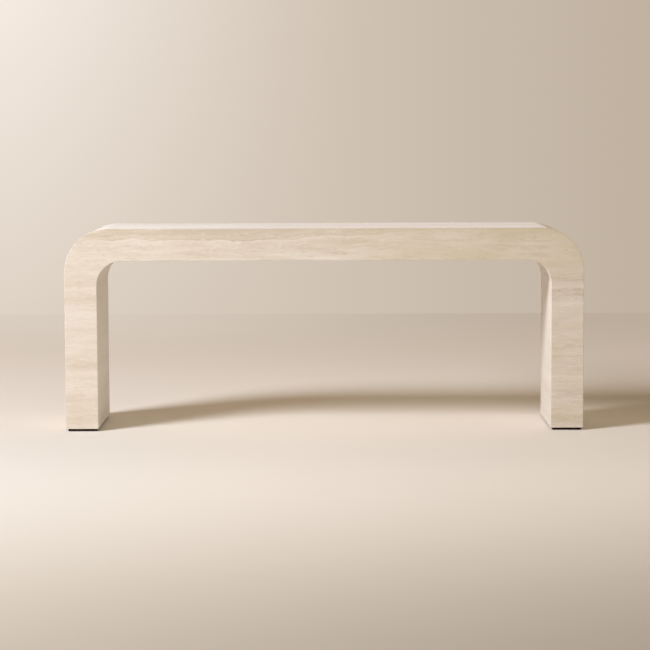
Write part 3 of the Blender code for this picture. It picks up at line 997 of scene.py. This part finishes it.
# Colours of the floor: its own in the pool of light in front of the table, then to the left of it, beyond it,
# painted shade to the right behind it, and painted dimming towards the camera, there from left to right. The
# numbers say where each sets in and where it is full
FLOOR_COLOUR = srgb(231, 221, 209)
FLOOR_POOL = -1.0
FLOOR_LEFT_COLOUR = srgb(222, 214, 204)
FLOOR_LEFT = (0.0, -1.1)
FLOOR_FAR_COLOUR = srgb(243, 232, 223)
FLOOR_FAR = 3.5
FLOOR_RIGHT_SHADE = srgb(206, 194, 179)
FLOOR_RIGHT = (0.55, 1.35)
FLOOR_RIGHT_START = (-0.1, 0.7)
FLOOR_RIGHT_END = (2.7, 0.7)
FLOOR_DIM = (srgb(182, 170, 155), srgb(160, 148, 133))
FLOOR_NEAR = -3.9
FLOOR_SPAN = (-1.8, 1.8)

# Where the floor turns to a plain haze: far away, near the camera, and beside the photograph's view
FLOOR_FADE = (1.2, 4.2)
FLOOR_NEAR_FADE = (-3.5, -5.2)
FLOOR_SIDE_FADE = (0.05, 0.75)
FLOOR_HAZE = (srgb(208, 196, 183), srgb(178, 163, 147))
BLACK = (0.0, 0.0, 0.0, 1.0)

# Backdrop: a plain warm tone that darkens to the right, with a soft glow of the lamp at the upper left
BACKDROP = (srgb(222, 210, 197), srgb(192, 177, 160))
BACKDROP_SPAN = (-0.14, 0.14)
BACKDROP_RISE = (-0.086, 0.050)
GLOW = (0.19, 0.19, 0.20, 1.0)
GLOW_REACH = (0.03, -0.17)

# Light: one large soft lamp to the front left, and a dim warm room that is brighter behind the table, to its
# right and above it
KEY_PLACE = (-5.1, -4.15, 4.5)
KEY_AIM = (0.0, 0.0, 0.3)
KEY_SIZE = 2.6
KEY_POWER = 710.0
KEY_COLOUR = (0.940, 1.005, 1.105)
ROOM_COLOUR = (0.070, 0.033, 0.008, 1.0)
TOP_COLOUR = (0.115, 0.048, 0.0, 1.0)
BACK_COLOUR = (0.80, 0.68, 0.46, 1.0)
BACK_LOBE = 0.25
SIDE_COLOUR = (0.44, 0.54, 0.53, 1.0)


def floor_material():
    """A pale floor, which outside the photograph's view is seen and mirrored as a plain haze."""
    shader = Shader("floor")
    patch = shader.swing(shader.scaled(FLOOR_PATCH_SCALE), FLOOR_PATCH)
    # Painted dimming of the light towards the camera
    dim = shader.between(shader.y, FLOOR_POOL, FLOOR_NEAR)
    colour = shader.mix(shader.between(shader.x, *FLOOR_LEFT), FLOOR_COLOUR, FLOOR_LEFT_COLOUR)
    colour = shader.mix(shader.between(shader.y, FLOOR_POOL, FLOOR_FAR), colour, FLOOR_FAR_COLOUR)
    # Painted shade to the right behind the table
    right = shader.between(shader.x, *FLOOR_RIGHT)
    for reach in (FLOOR_RIGHT_START, FLOOR_RIGHT_END):
        right = shader.times(right, shader.between(shader.y, *reach))
    colour = shader.mix(right, colour, FLOOR_RIGHT_SHADE)
    dim_colour = shader.mix(shader.between(shader.x, *FLOOR_SPAN), *FLOOR_DIM)
    colour = shader.mix(shader.math("ADD", dim, patch, clamp=True), colour, dim_colour)

    ends = shader.add(shader.between(shader.y, *FLOOR_FADE), shader.between(shader.y, *FLOOR_NEAR_FADE))
    half_view = shader.math("MULTIPLY_ADD", shader.y, VIEW_SPREAD, -CAMERA_PLACE[1] * VIEW_SPREAD)
    beside = shader.math("SUBTRACT", shader.math("ABSOLUTE", shader.x), half_view)
    ends = shader.math("MAXIMUM", ends, shader.between(beside, *FLOOR_SIDE_FADE))
    fade = shader.times(ends, shader.seen())
    haze = shader.mix(shader.between(shader.x, *FLOOR_SPAN), *FLOOR_HAZE)
    colour = shader.mix(fade, colour, BLACK)
    return shader.finish(
        Base_Color=colour, Roughness=FLOOR_ROUGHNESS, Emission_Color=haze, Emission_Strength=fade
    )


def build_floor():
    mesh = bpy.data.meshes.new("floor")
    corners = (
        (-FLOOR_REACH, -FLOOR_REACH, 0),
        (FLOOR_REACH, -FLOOR_REACH, 0),
        (FLOOR_REACH, FLOOR_BACK, 0),
        (-FLOOR_REACH, FLOOR_BACK, 0),
    )
    mesh.from_pydata(corners, [], [(0, 1, 2, 3)])
    mesh.materials.append(floor_material())
    floor = bpy.data.objects.new("floor", mesh)
    bpy.context.scene.collection.objects.link(floor)


def build_key():
    """The lamp. It isn't mirrored, so that the top doesn't burn out when it is seen against the light."""
    key = bpy.data.objects.new("key", bpy.data.lights.new("key", "AREA"))
    key.data.shape = "DISK"
    key.data.size = KEY_SIZE
    key.data.energy = KEY_POWER
    key.data.color = KEY_COLOUR
    key.visible_glossy = False
    key.location = KEY_PLACE
    key.rotation_euler = (Vector(KEY_AIM) - Vector(KEY_PLACE)).to_track_quat("-Z", "Y").to_euler()
    bpy.context.scene.collection.objects.link(key)


def build_world():
    """The room for the light that falls on the table, and the backdrop for what is seen or mirrored."""
    world = bpy.data.worlds.new("world")
    world.use_nodes = True
    bpy.context.scene.world = world
    nodes = Nodes(world.node_tree)
    x, y, z = nodes.split(nodes.node("ShaderNodeTexCoord").outputs["Generated"])
    fill = nodes.mix(nodes.between(y, BACK_LOBE, 1.0), ROOM_COLOUR, BACK_COLOUR, "ADD")
    fill = nodes.mix(nodes.between(x, 0.0, 1.0, kind="LINEAR"), fill, SIDE_COLOUR, "ADD")
    fill = nodes.mix(nodes.between(z, 0.0, 1.0, kind="LINEAR"), fill, TOP_COLOUR, "ADD")
    room = world.node_tree.nodes["Background"]
    nodes.feed(room.inputs["Color"], fill)
    across = nodes.between(x, *BACKDROP_SPAN, kind="LINEAR")
    glow = nodes.times(nodes.between(z, *BACKDROP_RISE, kind="LINEAR"), nodes.between(x, *GLOW_REACH))
    view = nodes.mix(glow, nodes.mix(across, *BACKDROP), GLOW, "ADD")
    backdrop = nodes.node("ShaderNodeBackground", Color=view)
    choose = nodes.node("ShaderNodeMixShader")
    for socket, value in zip(choose.inputs, (nodes.seen(), room.outputs[0], backdrop.outputs[0])):
        nodes.feed(socket, value)
    nodes.feed(world.node_tree.nodes["World Output"].inputs["Surface"], choose.outputs[0])


build_camera()
build_stone()
build_core()
build_hardware()
build_floor()
build_key()
build_world()

bpy.context.scene.view_settings.view_transform = "Standard"
